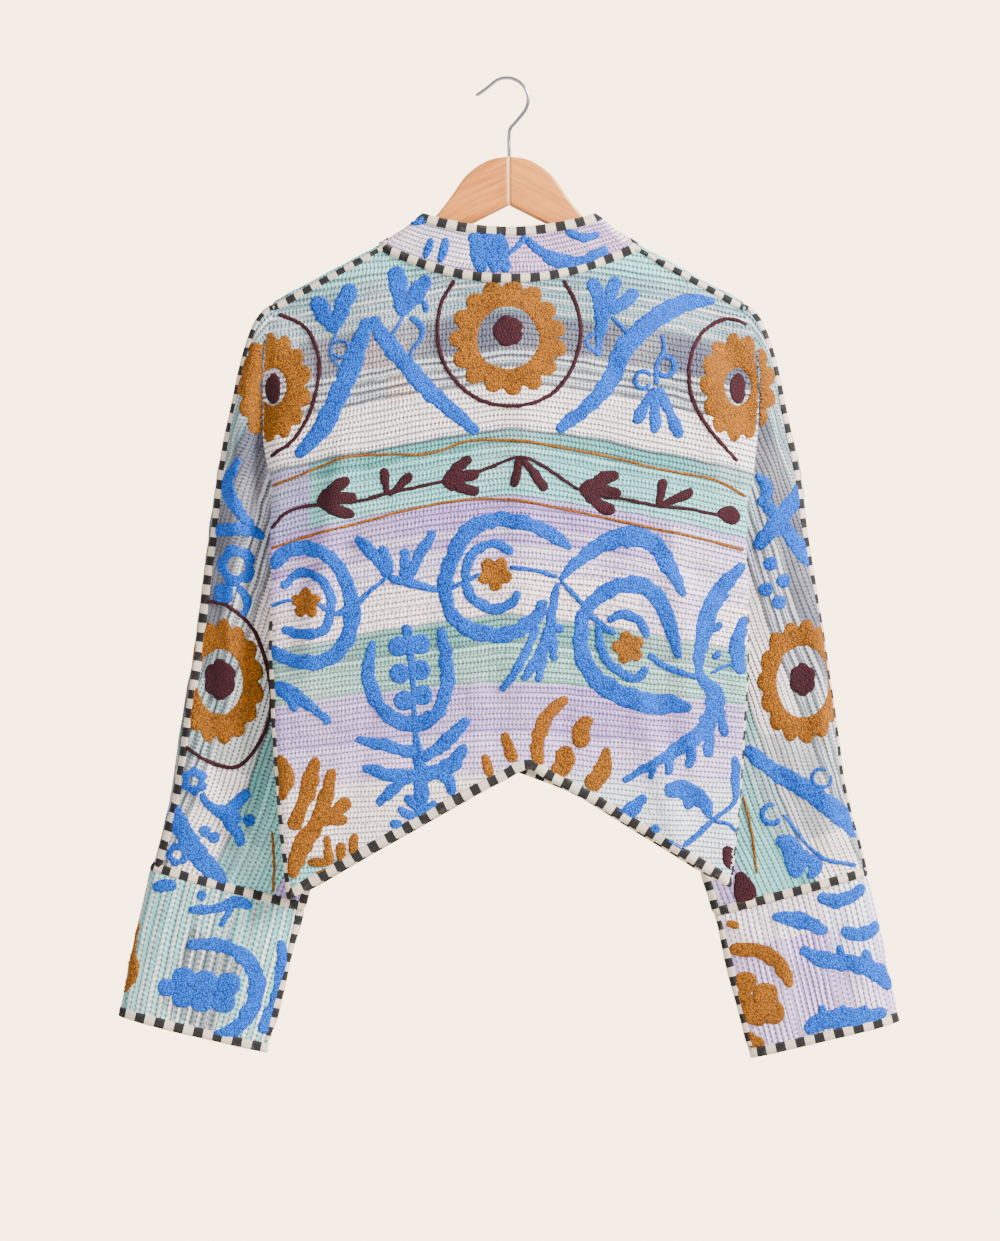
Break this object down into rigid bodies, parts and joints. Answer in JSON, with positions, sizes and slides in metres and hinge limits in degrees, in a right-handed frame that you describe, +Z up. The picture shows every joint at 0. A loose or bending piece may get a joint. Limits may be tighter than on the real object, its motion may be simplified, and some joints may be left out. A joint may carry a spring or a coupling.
{
  "type": "kantha jacket on a hanger",
  "caption": "Cropped kantha-quilted patchwork jacket with wide sleeves, turned cuffs, a stand collar and a notched hem, hanging flat on a wooden hanger with a wire hook.",
  "frame": {"origin": "inside top of the hanger's hook, where it hangs", "axes": "+Z up, +X across to the wearer's right side, which is on the right seen from behind, and the back of the jacket faces -Y"},
  "size_m": [0.7335, 0.084, 0.918],
  "materials": {
    "kantha_cloth": "soft matt old cotton, hand-stitched",
    "block_striped_binding": "matt cotton in dark and cream blocks",
    "blue_thread": "slightly glossy cotton floss",
    "mustard_thread": "slightly glossy cotton floss",
    "maroon_thread": "slightly glossy cotton floss",
    "pale_wood": "clear satin varnish",
    "chromed_wire": "bright"
  },
  "bodies": {
    "root": {"back": "kantha_cloth", "front_left": "kantha_cloth", "front_right": "kantha_cloth", "cuff_left": "kantha_cloth", "cuff_right": "kantha_cloth", "collar": "kantha_cloth", "neck_tape": "block_striped_binding", "collar_binding": "block_striped_binding", "hem_binding_back": "block_striped_binding", "shoulder_tape_left": "block_striped_binding", "side_tape_left": "block_striped_binding", "underarm_tape_left": "block_striped_binding", "cuff_seam_tape_left": "block_striped_binding", "cuff_underarm_tape_left": "block_striped_binding", "cuff_binding_left": "block_striped_binding", "front_binding_left": "block_striped_binding", "hem_binding_front_left": "block_striped_binding", "shoulder_tape_right": "block_striped_binding", "side_tape_right": "block_striped_binding", "underarm_tape_right": "block_striped_binding", "cuff_seam_tape_right": "block_striped_binding", "cuff_underarm_tape_right": "block_striped_binding", "cuff_binding_right": "block_striped_binding", "front_binding_right": "block_striped_binding", "hem_binding_front_right": "block_striped_binding", "hanger_arm_left": "pale_wood", "hanger_arm_right": "pale_wood", "hook": "chromed_wire"}
  },
  "joints": []
}
